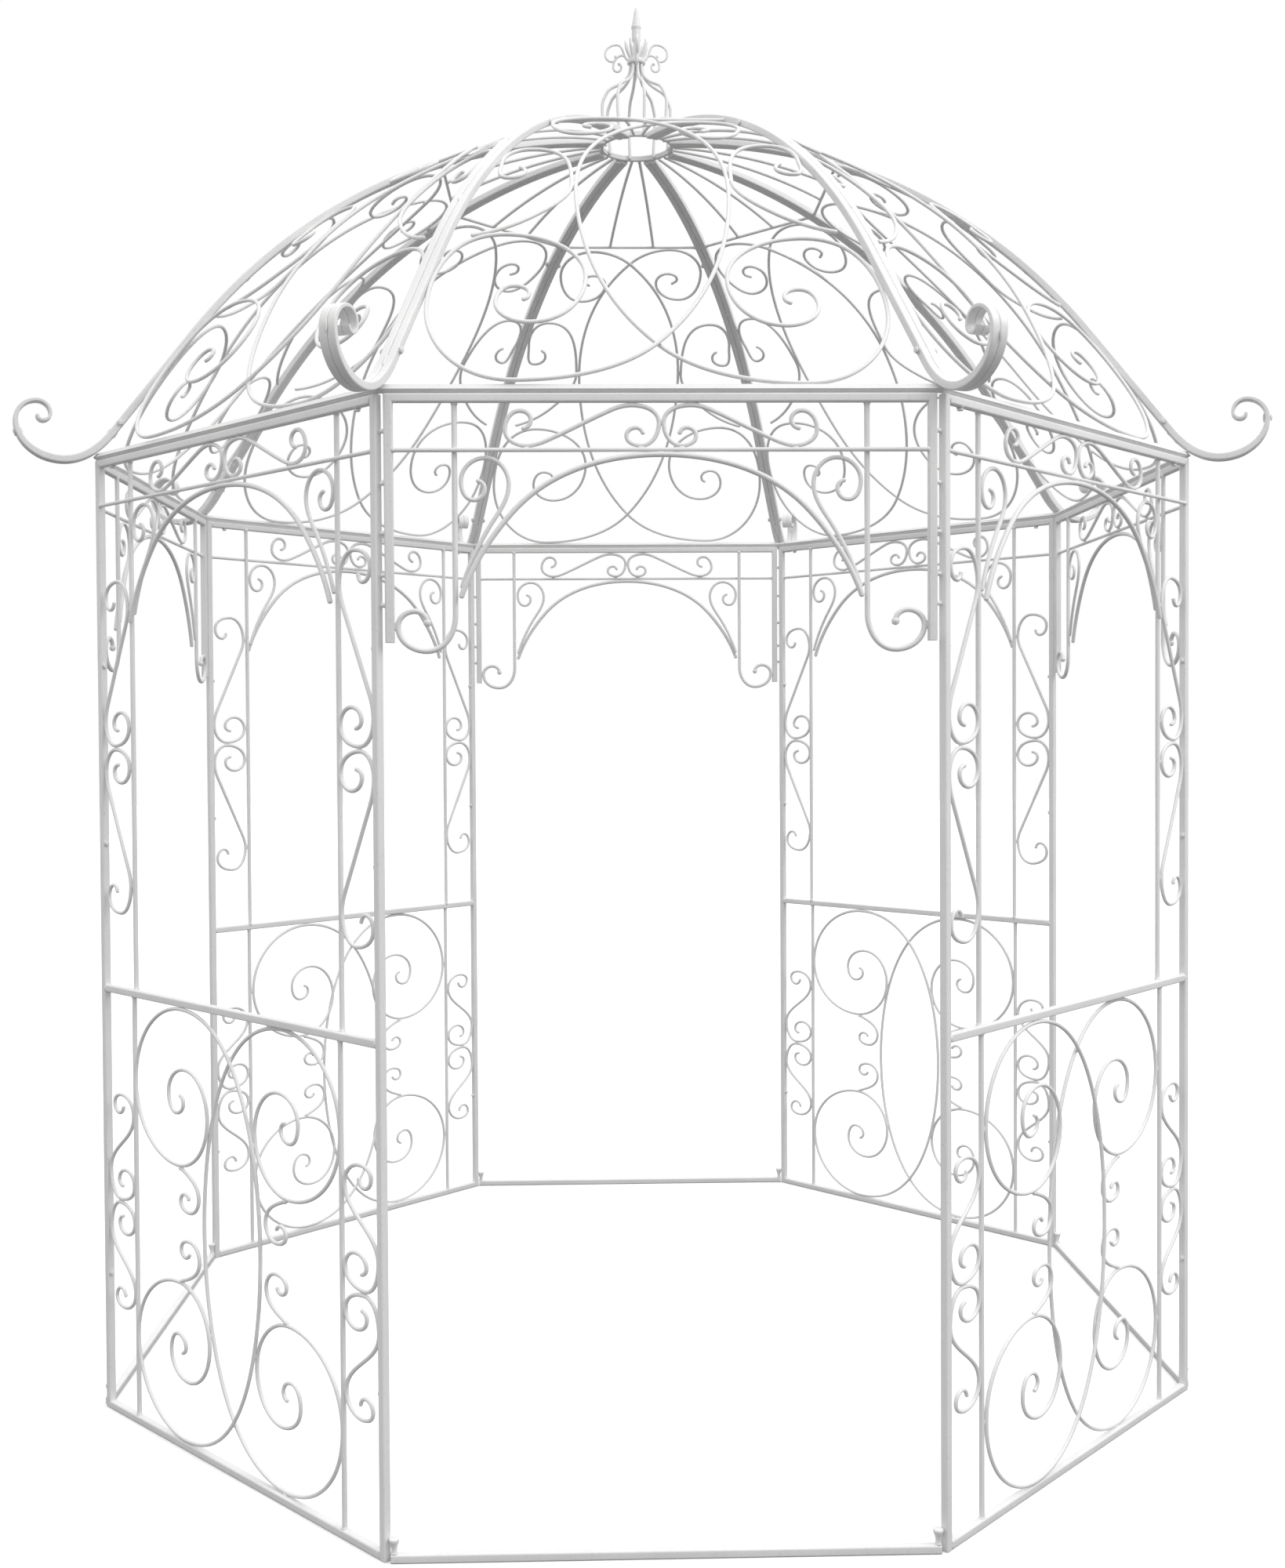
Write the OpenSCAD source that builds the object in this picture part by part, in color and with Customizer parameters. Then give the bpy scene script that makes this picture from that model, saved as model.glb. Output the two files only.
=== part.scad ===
// Octagonal open bandstand of welded and bent steel bar, painted white.
// Four lattice side panels stand on the diagonal sides, four open doorways
// with scrolled headers between them. Eight curved ribs end in curls at the
// eaves and carry the roof's scroll work, a crown ring, a bar lantern and
// a finial. Millimetres, +Z up, front doorway towards -Y.

/* [Wall] */
// Length of each of the eight sides, from corner to corner
side_w = 1000; // [850:10:1200]
// Height of the walls to the top of the top rail
wall_h = 2090; // [1950:10:2300]
// Square tube of the side panels and sills
post_w = 16; // [14:1:22]
// Square tube of the door headers and middle rails
tube_w = 16; // [12:1:20]
// Round uprights inside the panels and headers
upright_d = 10; // [8:1:12]
// Bent scroll bars
scroll_d = 8; // [6:1:9]
// Distance of the inner uprights from the end of a side
upright_in = 132; // [110:2:160]
// Height of the middle rail's centre line
handrail_z = 932; // [860:1:1000]
// Depth of the scroll band under the top of the wall
band_h = 100; // [90:1:120]
// Height where the arches spring from the uprights
arch_z = 1728; // [1650:1:1790]
// Length of the header tubes that hang beside the posts
drop_l = 440; // [420:5:480]
// Gap that spacers keep between a header tube and the post beside it
header_gap = 4.5; // [3:0.5:8]

/* [Roof] */
// Slope of the roof just above the eaves, in degrees
eaves_slope = 53; // [50:1:56]
// Straight run of the ribs above the eaves
eaves_run = 355; // [300:5:400]
// Bending radius of the ribs above the straight run
rib_r = 1421; // [1380:1:1480]
// Square bar of the doubled ribs
rib_w = 16; // [12:1:18]
// Square bar of the eaves rails
eaves_w = 12; // [10:1:16]
// How far the curls reach out past the corners
curl_out = 168; // [140:1:185]
// Distance of the cross bars from the crown ring, down the slope
cross_l = 435; // [400:5:470]
// Outer radius of the crown ring
crown_r = 92; // [86:1:100]
// Height of the crown ring
crown_h = 14; // [10:1:24]
// Wall of the crown ring
crown_t = 8; // [5:1:12]
// Widest radius of the lantern's bent bars
lantern_r = 88; // [80:1:95]
// Height of the lantern, from the crown ring to the collar
lantern_h = 197; // [180:1:215]
// Radius of the collar that gathers the lantern's bars
collar_r = 23; // [20:1:28]
// Height of the finial above the lantern
finial_h = 142; // [130:1:160]
// Bars of the small scrolls around the finial
curl_d = 5.5; // [4:0.5:6]

/* [Hidden] */
$fn = 32;
white = [0.93, 0.93, 0.92];
seat = 0.3;
half = side_w / 2;
wall_r = half / tan(22.5);
corner_r = half / sin(22.5);
upright_x = half - upright_in;
panel_x = half - post_w / 2 * tan(22.5) - seat / 2;
post_end = half - panel_x;
// how far short of a corner a rail of width w ends, to seat on the post there
function meet(w) = min(w / 2 - (post_end - seat) / cos(45),
  seat + cos(45) * (post_w / 2 - post_end));
header_x = half - meet(tube_w) - header_gap;
band_z = wall_h - band_h;
// centre lines of bars that touch their neighbours
bay_x = upright_x - upright_d / 2 - scroll_d / 2 - seat;
low_z = post_w + scroll_d / 2 + seat;
high_z = handrail_z - tube_w / 2 - scroll_d / 2 - seat;
bay_z = (low_z + high_z) / 2;
strip_x = (panel_x - post_w + upright_x + upright_d / 2) / 2;
strip_half = (panel_x - post_w - upright_x - upright_d / 2) / 2 - scroll_d / 2 - seat;
long_z = (handrail_z + band_z) / 2;
arch_rise = band_z - scroll_d - seat - arch_z;
// roof section: an arc from the crown, then a straight run to the corner
// that clears the outer edge of the posts
post_out = post_w / 2 * sin(67.5) - post_end * cos(67.5);
rib_z = wall_h + (post_out * sin(eaves_slope) + rib_w / 2 + seat) / cos(eaves_slope);
eaves_z = wall_h + eaves_w / 2 * (sin(eaves_slope) + cos(eaves_slope)) + seat;
run_r = corner_r - eaves_run * cos(eaves_slope);
run_z = rib_z + eaves_run * sin(eaves_slope);
mid_r = run_r - rib_r * sin(eaves_slope);
mid_z = run_z - rib_r * cos(eaves_slope);
crown_slope = asin((crown_r - mid_r) / rib_r);
crown_z = mid_z + rib_r * cos(crown_slope);
arc_l = (eaves_slope - crown_slope) * PI / 180 * rib_r;
roof_l = arc_l + eaves_run + (rib_z - eaves_z) * sin(eaves_slope) - eaves_w / 2;
// the crown ring stands a little above the ribs' centre lines
crown_lift = 5;
ring_z = crown_z + crown_lift - crown_h / 2;
collar_z = ring_z + crown_h + lantern_h;
collar_h = 12;
// uprights stand behind the round bar under the top band
lap = (upright_d + scroll_d) / 4 + seat / 2;

// Curves: a bar is a list of knots [x, y, heading], joined by smooth arcs.
function dir(a) = [cos(a), sin(a)];
function wrap(a) = a > 180 ? wrap(a - 360) : a < -180 ? wrap(a + 360) : a;
function bez(a, b, c, d, t) =
  pow(1 - t, 3) * a + 3 * t * pow(1 - t, 2) * b + 3 * t * t * (1 - t) * c + t * t * t * d;
function span(p, q, tol) =
  let (a = [p[0], p[1]])
  let (b = [q[0], q[1]])
  let (l = norm(b - a))
  let (c = atan2(b[1] - a[1], b[0] - a[0]))
  let (turn = (abs(wrap(c - p[2])) + abs(wrap(q[2] - c))) * PI / 180)
  let (n = turn < 0.04 ? 1 : max(2, ceil(sqrt(l * turn / (8 * tol)))))
  let (h = l / (3 * pow(cos(wrap(q[2] - p[2]) / 4), 2)))
  [for (i = [0 : n - 1]) bez(a, a + h * dir(p[2]), b - h * dir(q[2]), b, i / n)];
// points along knots k, close enough to the curve that no chord is off by tol
function path(k, tol = 1.5) =
  let (e = k[len(k) - 1])
  concat([for (i = [0 : len(k) - 2]) each span(k[i], k[i + 1], tol)], [[e[0], e[1]]]);
function flip(p) = [for (i = [len(p) - 1 : -1 : 0]) p[i]];
function side_of(p, i) =
  let (d = p[min(i + 1, len(p) - 1)] - p[max(i - 1, 0)])
  [-d[1], d[0]] / norm(d);
function left_of(p, i) = i >= len(p) - 1 ? 0 : norm(p[i + 1] - p[i]) + left_of(p, i + 1);
// outline of a bar of width w along the points p, narrowing to w1 over its last length l1
function band(p, w, w1, l1 = 1) =
  let (n = len(p) - 1)
  let (h = [for (i = [0 : n]) (w1 + (w - w1) * pow(min(1, left_of(p, i) / l1), 2)) / 2])
  let (l = [for (i = [0 : n]) p[i] + side_of(p, i) * h[i]])
  let (r = [for (i = [0 : n]) p[i] - side_of(p, i) * h[i]])
  concat(l, flip(r));
// a pattern drawn in nominal millimetres, moved to x, z and stretched to fit
function fit(k, x, z, sx, sz) =
  [for (p = k) [x + p[0] * sx, z + p[1] * sz, atan2(sin(p[2]) * sz, cos(p[2]) * sx)]];

// Scroll patterns of the walls, in nominal millimetres.
loop = [
  [107, 0, -90], [-174, -462, 180], [-359, -283, 90], [-193, -126, 0],
  [-79, -240, -90], [-162, -334, 180], [-226, -279, 90], [-197, -238, 0],
  [-169, -262, -90], [-184, -277, 180]
];
comma = [
  [198, 117.6, 180], [114, 66, -90], [150, 31, 0],
  [183, 52, 90], [166, 68, 180], [152, 56, -80]
];
long_s = [
  [5, 36, 180], [-14, 50, 90], [16, 74, 0], [49.5, 43, -90], [-8, 4.2, 180],
  [-49.5, 52, 90], [-40, 92, 64], [40, 256, 64], [49.5, 290, 90], [5, 350, 180],
  [-43, 317, -90], [-22, 292, 0], [-8, 308, 90]
];
short_s = [
  [3, 34, 180], [-14, 48, 90], [16, 72, 0], [49.5, 42, -90], [-8, 4.2, 180],
  [-49.5, 66, 90], [49.5, 198, 90], [3, 240, 180], [-30, 219, -90],
  [-10, 198, 0], [7, 216, 90]
];
band_s = [
  [-249, 31, 0], [-232, 47, 90], [-251, 64, 180], [-278, 30, -90], [-240, 0, 0],
  [-205, 9, 24], [-90, 65, 24], [-53, 74, 0], [-4.2, 42, -90], [-36, 0, 180],
  [-62, 18, 90], [-45, 33, 0], [-32, 20, -80]
];
arch = [[-358, 0, 70], [-265, 143, 46], [0, 238, 0], [265, 143, -46], [358, 0, -70]];
volute = [
  [-348, 18, 62], [-272, 190, 90], [-314, 234, 180], [-357, 195, -90],
  [-334, 164, 0], [-315, 183, 90], [-330, 196, 180]
];

// Scroll patterns of a roof side: across, then down the slope from the crown.
roof_loop = [
  [-117, 584, -140], [-133, 566, -90], [-106, 543, 0], [-73, 580, 90],
  [-140, 645, 180], [-200, 548, -90], [-108, 444, 0], [0, 500, 50],
  [150, 935, 90], [0, 1415, 131], [-262, 1515, 180], [-424, 1322, -90],
  [-285, 1112, 0], [-132, 1237, 90], [-236, 1362, 180], [-298, 1308, -90],
  [-264, 1262, 0], [-236, 1284, 90], [-250, 1300, 180]
];
roof_tail = [
  [-262, 838, 10], [-249, 858, 90], [-282, 887, 180], [-296, 822, -90],
  [-236, 735, 0], [-159, 915, 90], [-232, 1040, 137], [-345, 1104, 165]
];

hook = [[-54, 14, -90], [0, -54, 0], [54, -8, 90], [23, 21, 180], [-1, -1, -90]];
// reaches of the patterns that are stretched to fit
loop_out = -loop[2][0];
loop_down = -loop[1][1];
s_out = long_s[3][0];
band_top = band_s[7][1];
arch_top = arch[2][1];
hook_out = hook[2][0];
// height between middle rail and top band that the long S-scrolls were drawn for
long_span = 1029;

// Patterns of the finial: out from the axis, up from the collar's middle.
flare = [[14, 5, 78], [22, 24, 70], [28, 52, 86]];
curl_top = [[22, 4, 50], [31, 19, 72], [49, 43, 0], [78, 19, -90], [61, 1, 180], [52, 13, 75]];
curl_low = [[28, 14, 30], [42, 15, -25], [58, -13, -90], [48, -24, 180], [38, -13, 90], [43, -5, 10]];

module on_side(k)
  rotate(45 * k)
    translate([0, -wall_r, 0])
      children();

// A flat-wise bent bar standing in the wall: layer -1 outside, 0, or 1 inside.
module bent(p, layer = 0, d = scroll_d)
  translate([0, d / 2 + layer * (d + seat) / 2, 0])
    rotate([90, 0, 0])
      linear_extrude(d)
        polygon(band(p, d, d));

// A bar bent in a plane that holds the axis, at angle a, from out and up knots.
module spoke(p, a, d, w1)
  rotate(a)
    translate([0, d / 2, 0])
      rotate([90, 0, 0])
        linear_extrude(d)
          polygon(band(p, d, w1, 30));

module round_bar(x0, x1, y, z, d)
  translate([x0, y, z])
    rotate([0, 90, 0])
      cylinder(d = d, h = x1 - x0);

module upright(x, z0, z1, y = 0)
  translate([x, y, z0])
    cylinder(d = upright_d, h = z1 - z0);

module tube(x0, x1, z0, z1, w)
  translate([x0, -w / 2, z0])
    cube([x1 - x0, w, z1 - z0]);

// Panel frame: posts, three rails, uprights lapped behind the round bar.
module side_panel() color(white) {
  in_x = panel_x - post_w - seat;
  for (s = [-1, 1])
    translate([s * (panel_x - post_w / 2), 0, 0])
      tube(-post_w / 2, post_w / 2, 0, wall_h, post_w);
  tube(-in_x, in_x, 0, post_w, post_w);
  tube(-in_x, in_x, wall_h - post_w, wall_h, post_w);
  tube(-in_x, in_x, handrail_z - tube_w / 2, handrail_z + tube_w / 2, tube_w);
  round_bar(-in_x, in_x, -lap, band_z, scroll_d);
  for (s = [-1, 1])
    upright(s * upright_x, post_w + seat, handrail_z - tube_w / 2 - seat);
  for (s = [-1, 1])
    upright(s * upright_x, handrail_z + tube_w / 2 + seat, wall_h - post_w - seat, lap);
}

// Balustrade: two lapped bars that loop round a tall oval, small curls
// beside it and short S-scrolls between the uprights and the posts.
module balustrade() color(white) {
  kx = bay_x / loop_out;
  kz = (high_z - low_z) / 2 / loop_down;
  low = path(fit(loop, 0, bay_z, kx, kz));
  top = path(fit(loop, 0, bay_z, kx, -kz));
  bar = concat(flip(top), [for (i = [1 : len(low) - 1]) low[i]]);
  bent(bar, -1);
  bent([for (p = bar) [-p[0], p[1]]], 1);
  for (s = [-1, 1])
    for (t = [-1, 1])
      bent(path(fit(comma, 0, bay_z, s * kx, t * kz)), s);
  for (s = [-1, 1])
    for (t = [-1, 1])
      bent(path(fit(short_s, s * strip_x, bay_z, -s * strip_half / s_out, t * kz)));
}

// Top band and volutes, shared by the panels and the headers.
module band_work() {
  kx = bay_x / loop_out;
  rail = wall_h - post_w - scroll_d / 2 - seat;
  foot = band_z + scroll_d + seat;
  for (s = [-1, 1])
    bent(path(fit(band_s, 0, foot, s * kx, (rail - foot) / band_top)));
  for (s = [-1, 1])
    bent(path(fit(volute, 0, arch_z, s * kx, arch_rise / arch_top)), 1);
}

module panel_scrolls() color(white) {
  kz = (band_z - handrail_z) / long_span;
  band_work();
  for (s = [-1, 1])
    for (t = [-1, 1])
      bent(path(fit(long_s, s * strip_x, long_z, -s * strip_half / s_out, t * kz)));
}

// The eight arches, in front of the volutes and the uprights.
module arches() color(white)
  for (k = [0 : 7])
    on_side(k)
      bent(path(fit(arch, 0, arch_z, bay_x / loop_out, arch_rise / arch_top)), -1);

// Header: top rail, two tubes hung beside the posts, uprights that end in a hook.
module door_header() color(white) {
  in_x = header_x - tube_w - seat;
  // the hook fills the space between upright and tube, this much above the tube's foot
  hook_up = 36;
  hook_r = (in_x - upright_d / 2 - seat - upright_x) / 2;
  hook_z = wall_h - drop_l + hook_up;
  hook_x = upright_x + hook_r;
  hook_k = hook_r / hook_out;
  spacer_x = header_x - tube_w / 2;
  tip = hook[4];
  spacer_d = 8;
  for (s = [-1, 1])
    translate([s * (header_x - tube_w / 2), 0, 0])
      tube(-tube_w / 2, tube_w / 2, wall_h - drop_l, wall_h, tube_w);
  tube(-in_x, in_x, wall_h - tube_w, wall_h, tube_w);
  round_bar(-in_x, in_x, -lap, band_z, scroll_d);
  for (s = [-1, 1])
    upright(s * upright_x, hook_z + hook[0][1] * hook_k + seat, wall_h - tube_w - seat, lap);
  for (s = [-1, 1])
    for (t = [0.15, 0.36, 0.56, 0.73, 0.85])
      translate([0, 0, wall_h - drop_l * t])
        rotate([0, s * 90, 0])
          translate([0, 0, spacer_x])
            cylinder(d = spacer_d, h = half - meet(spacer_d) - spacer_x);
  for (s = [-1, 1])
    translate([0, lap, 0]) {
      bent(path(fit(hook, s * hook_x, hook_z, s * hook_k, hook_k)), 0, upright_d);
      translate([s * (hook_x + tip[0] * hook_k), 0, hook_z + tip[1] * hook_k])
        sphere(d = upright_d * 1.3);
    }
}

module header_scrolls() color(white)
  band_work();

// Bottom rail of a doorway, with an upright bolt at each end.
module sill() color(white) {
  end_x = half - meet(post_w);
  bolt_d = 12;
  bolt_h = 18;
  head_d = 19;
  head_h = 10;
  // the head rests against the face of the post
  bolt_x = half - (head_d / 2 + seat - post_end) / cos(45);
  tube(-end_x, end_x, 0, post_w, post_w);
  for (s = [-1, 1])
    translate([s * bolt_x, 0, post_w]) {
      cylinder(d = bolt_d, h = bolt_h);
      translate([0, 0, bolt_h])
        cylinder(d = head_d, h = head_h);
    }
}

// Rib: two square bars side by side from the crown ring to the curl.
function rib_line() =
  let (b_r = corner_r + curl_out / 2)
  let (b_z = wall_h - 5)
  let (r1 = curl_out / 2)
  let (r2 = r1 * 0.54)
  let (r3 = r1 * 0.32)
  let (r4 = r1 * 0.19)
  let (k = [
    [corner_r + post_out, rib_z - post_out * tan(eaves_slope), -eaves_slope],
    [b_r, b_z, 0], [b_r + r1, b_z + r1, 90],
    [b_r + r1 - r2, b_z + r1 + r2, 180],
    [b_r + r1 - r2 - r3, b_z + r1 + r2 - r3, -90],
    [b_r + r1 - r2 - r3 + r4, b_z + r1 + r2 - r3 - r4, 0],
    [b_r + r1 - r2 - r3 + 1.7 * r4, b_z + r1 + r2 - r3 - 0.3 * r4, 90]
  ])
  let (a0 = asin((crown_r + seat + rib_w / 2 * sin(crown_slope) - mid_r) / rib_r))
  concat([for (i = [0 : 12]) let (a = a0 + (eaves_slope - a0) * i / 12)
    [mid_r + rib_r * sin(a), mid_z + rib_r * cos(a)]], path(k, 1));

module rib(k) color(white)
  rotate(-67.5 + 45 * k)
    for (y = [rib_w + seat / 2, -seat / 2])
      translate([0, y, 0])
        rotate([90, 0, 0])
          linear_extrude(rib_w)
            polygon(band(rib_line(), rib_w, rib_w * 0.4, 250));

// Roof sides: bars bent to the slope, laid in two layers where they cross.
function slope_at(s) = crown_slope + min(s, arc_l) / rib_r * 180 / PI;
function rib_r_at(s) = s < arc_l ? mid_r + rib_r * sin(slope_at(s)) :
  run_r + (s - arc_l) * cos(eaves_slope);
function z_at(s) = s < arc_l ? mid_z + rib_r * cos(slope_at(s)) :
  run_z - (s - arc_l) * sin(eaves_slope);
function on_roof(p) = [p[0], -rib_r_at(p[1]) * cos(22.5), z_at(p[1])];
function up_at(p) =
  let (n = [0, -sin(slope_at(p[1])), cos(slope_at(p[1])) * cos(22.5)])
  n / norm(n);
module roof_bar(p, layer) {
  c = [for (q = p) on_roof(q)];
  last = len(p) - 1;
  rings = [for (i = [0 : last])
    let (t = c[min(i + 1, last)] - c[max(i - 1, 0)])
    let (u = up_at(p[i]))
    let (b = cross(t, u) / norm(cross(t, u)) * scroll_d / 2)
    let (h = u * scroll_d / 2)
    let (m = c[i] + u * layer * (scroll_d + seat) / 2)
    each [m - b - h, m + b - h, m + b + h, m - b + h]];
  sides = [for (i = [0 : last - 1]) for (j = [0 : 3])
    [4 * i + j, 4 * i + (j + 1) % 4, 4 * i + 4 + (j + 1) % 4, 4 * i + 4 + j]];
  ends = [[3, 2, 1, 0], [for (j = [0 : 3]) 4 * last + j]];
  polyhedron(points = rings, faces = concat(sides, ends));
}
// half width of a roof side between the ribs, for the centre line of a bar
function clear_at(s) = rib_r_at(s) * sin(22.5) - (rib_w + scroll_d / 2 + 2 * seat) / cos(22.5)
  - scroll_d * sin(slope_at(s)) * tan(22.5);

// Eaves rail, cross bar, and to each side a looped bar, a tailed one and a
// straight one that runs up to the crown ring.
module roof_scrolls(k) color(white)
  rotate(45 * k) {
    ks = (roof_l - scroll_d / 2 - seat) / roof_loop[10][1];
    // the loops' corners are wide, so they keep this much more off the ribs
    spare = 4.5;
    kx = (clear_at(roof_loop[11][1] * ks) - spare) / -roof_loop[11][0];
    cross_at = on_roof([0, cross_l]);
    cross_x = rib_r_at(cross_l) * sin(22.5) - (rib_w + 1.5 * seat) / cos(22.5)
      - scroll_d / 2 * tan(22.5);
    tail_in = roof_loop[8][0] * kx + scroll_d + seat;
    tail_k = (clear_at(roof_tail[3][1] * ks) - 1 - tail_in) / (roof_tail[5][0] - roof_tail[3][0]);
    tail_at = tail_in + roof_tail[5][0] * tail_k;
    top_s = ((crown_r + seat) / cos(22.5) - crown_r) / cos(crown_slope);
    end_s = cross_l - scroll_d / 2 - seat;
    // the straight bars lean apart towards the cross bar
    top_x = 9.5;
    end_x = 60 * kx;
    rail_x = (wall_r - eaves_w * 0.7) * tan(22.5) - (rib_w + 1.5 * seat) / cos(22.5);
    translate([0, -wall_r, eaves_z])
      rotate([-eaves_slope, 0, 0])
        cube([2 * rail_x, eaves_w, eaves_w], center = true);
    round_bar(-cross_x, cross_x, cross_at[1], cross_at[2], scroll_d);
    for (s = [-1, 1]) {
      roof_bar(path(fit(roof_loop, 0, 0, s * kx, ks), 2.2), s);
      roof_bar(path(fit(roof_tail, s * tail_at, 0, -s * tail_k, ks), 2.2), s);
      roof_bar([for (t = [0 : 1 / 3 : 1.01])
        [s * (top_x + (end_x - top_x) * t), top_s + (end_s - top_s) * t]], 0);
    }
  }

module crown_ring() color(white)
  translate([0, 0, ring_z])
    difference() {
      cylinder(r = crown_r, h = crown_h, $fn = 64);
      translate([0, 0, -1])
        cylinder(r = crown_r - crown_t, h = crown_h + 2, $fn = 64);
    }

// Lantern: eight bars bent to an onion shape, from inside the crown ring up to
// the collar. They stand a little turned against the ribs.
module lantern() color(white) {
  foot_r = crown_r - crown_t - scroll_d / 2 - seat;
  belly_z = ring_z + crown_h + lantern_h * 0.44;
  // as close together as eight bars stand without touching
  neck_r = (scroll_d + seat) / 2 / sin(22.5) + scroll_d / 2;
  turn = 11;
  k = [[foot_r, ring_z + 2, 88], [lantern_r, belly_z, 91],
    [lantern_r * 0.86, belly_z + lantern_h * 0.18, 118],
    [lantern_r * 0.53, belly_z + lantern_h * 0.285, 150],
    [neck_r * 1.45, belly_z + lantern_h * 0.40, 122],
    [neck_r, collar_z - seat, 90]];
  for (i = [0 : 7])
    spoke(path(k, 0.8), 45 * i + turn, scroll_d, scroll_d);
}

// Finial: collar, the bars' pointed ends above it, small scrolls and a spear.
module finial() color(white) {
  spear_r = 11;
  // heights of the spear's foot, ridge and shoulder above the collar's underside
  foot_z = finial_h * 0.42;
  ridge_z = finial_h * 0.65;
  neck_z = finial_h * 0.91;
  translate([0, 0, collar_z]) {
    rotate_extrude()
      polygon([[0, 0], [collar_r - 1.5, 0], [collar_r, 3], [collar_r, collar_h - 3],
        [collar_r - 1.5, collar_h], [7, collar_h + 1], [7, foot_z - 4], [spear_r, foot_z],
        [spear_r, ridge_z - 7], [spear_r * 1.14, ridge_z], [spear_r * 0.45, neck_z], [0, finial_h]]);
    translate([0, 0, collar_h / 2]) {
      for (i = [0 : 7])
        spoke(path(flare, 0.5), 45 * i + 11, scroll_d, 1.5);
      for (a = [0 : 90 : 270]) {
        spoke(path(curl_top, 0.8), a, curl_d, curl_d);
        spoke(path(curl_low, 0.8), a, curl_d, curl_d);
      }
    }
  }
}

side_names = ["front_right", "back_right", "back_left", "front_left"];
door_names = ["front", "right", "back", "left"];

for (i = [0 : 3]) {
  on_side(2 * i + 1) side_panel();
  on_side(2 * i + 1) balustrade();
  on_side(2 * i + 1) panel_scrolls();
  on_side(2 * i) door_header();
  on_side(2 * i) header_scrolls();
  on_side(2 * i) sill();
}
for (i = [1 : 8]) {
  rib(i - 1);
  roof_scrolls(i - 1);
}
arches();
crown_ring();
lantern();
finial();
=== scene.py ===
"""Looks of the octagonal garden bandstand: bent bars, eased tubes, weld beads, bolts and white paint."""
import math
import random

import bpy
import numpy as np
from mathutils import Matrix, Vector, kdtree


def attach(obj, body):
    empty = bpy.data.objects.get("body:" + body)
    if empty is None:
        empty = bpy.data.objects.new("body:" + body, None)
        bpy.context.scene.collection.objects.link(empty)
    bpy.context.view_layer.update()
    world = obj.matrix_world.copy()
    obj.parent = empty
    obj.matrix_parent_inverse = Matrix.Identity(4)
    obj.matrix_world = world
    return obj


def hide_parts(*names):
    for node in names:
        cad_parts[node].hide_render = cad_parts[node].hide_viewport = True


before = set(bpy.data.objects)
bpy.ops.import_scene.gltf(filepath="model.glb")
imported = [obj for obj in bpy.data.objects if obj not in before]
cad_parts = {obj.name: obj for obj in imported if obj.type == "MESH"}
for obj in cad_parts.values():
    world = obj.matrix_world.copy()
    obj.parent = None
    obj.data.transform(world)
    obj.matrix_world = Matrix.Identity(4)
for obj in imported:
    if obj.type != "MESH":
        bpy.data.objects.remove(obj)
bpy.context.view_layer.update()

MM = 0.001

# Sizes of the real thing in millimetres and degrees, as in the construction
side_w = 1000
wall_h = 2090
post_w = 16
tube_w = 16
upright_d = 10
scroll_d = 8
upright_in = 132
handrail_z = 932
band_h = 100
arch_z = 1728
drop_l = 440
header_gap = 4.5
eaves_slope = 53
eaves_run = 355
rib_r = 1421
rib_w = 16
eaves_w = 12
curl_out = 168
cross_l = 435
crown_r = 92
crown_h = 14
crown_t = 8
lantern_r = 88
lantern_h = 197
collar_r = 23
collar_h = 12
finial_h = 142
curl_d = 5.5
seat = 0.3
# The lantern's bars stand this many degrees off the middles of the sides
lantern_turn = 11

# Welds: a lump where bars touch side by side, and a collar, wider than the bar, round a butted end
lump_w, lump_l = 5.4, 12
collar_share, collar_l = 1.28, 12
# Bars nearer than these gaps touch, and no lump lies as near as lump_clear to a collar
butt_gap, side_gap = 2.5, 1.6
lump_clear = 14

# Strength of the white sky at the horizon and overhead
low_sky, high_sky = 0.7, 1.35
# Large soft lamp: watts, then metres
key_power = 150
key_size = 4
key_place = (4.6, -3.4, 6.2)
key_aim = (0, 0, 1.4)
# How bright the camera sees the floor, and how much light the floor throws back on the bars
floor_tone = 1.1
floor_bounce = 0.2


def sin(a):
    return math.sin(math.radians(a))


def cos(a):
    return math.cos(math.radians(a))


def tan(a):
    return math.tan(math.radians(a))


half = side_w / 2
wall_r = half / tan(22.5)
corner_r = half / sin(22.5)
upright_x = half - upright_in
panel_x = half - post_w / 2 * tan(22.5) - seat / 2
post_end = half - panel_x
band_z = wall_h - band_h
bay_x = upright_x - upright_d / 2 - scroll_d / 2 - seat
low_z = post_w + scroll_d / 2 + seat
high_z = handrail_z - tube_w / 2 - scroll_d / 2 - seat
bay_z = (low_z + high_z) / 2
strip_x = (panel_x - post_w + upright_x + upright_d / 2) / 2
strip_half = (panel_x - post_w - upright_x - upright_d / 2) / 2 - scroll_d / 2 - seat
long_z = (handrail_z + band_z) / 2
arch_rise = band_z - scroll_d - seat - arch_z
lap = (upright_d + scroll_d) / 4 + seat / 2
post_out = post_w / 2 * sin(67.5) - post_end * cos(67.5)
rib_z = wall_h + (post_out * sin(eaves_slope) + rib_w / 2 + seat) / cos(eaves_slope)
eaves_z = wall_h + eaves_w / 2 * (sin(eaves_slope) + cos(eaves_slope)) + seat
run_r = corner_r - eaves_run * cos(eaves_slope)
run_z = rib_z + eaves_run * sin(eaves_slope)
mid_r = run_r - rib_r * sin(eaves_slope)
mid_z = run_z - rib_r * cos(eaves_slope)
crown_slope = math.degrees(math.asin((crown_r - mid_r) / rib_r))
crown_z = mid_z + rib_r * cos(crown_slope)
arc_l = math.radians(eaves_slope - crown_slope) * rib_r
roof_l = arc_l + eaves_run + (rib_z - eaves_z) * sin(eaves_slope) - eaves_w / 2
crown_lift = 5
ring_z = crown_z + crown_lift - crown_h / 2
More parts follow.
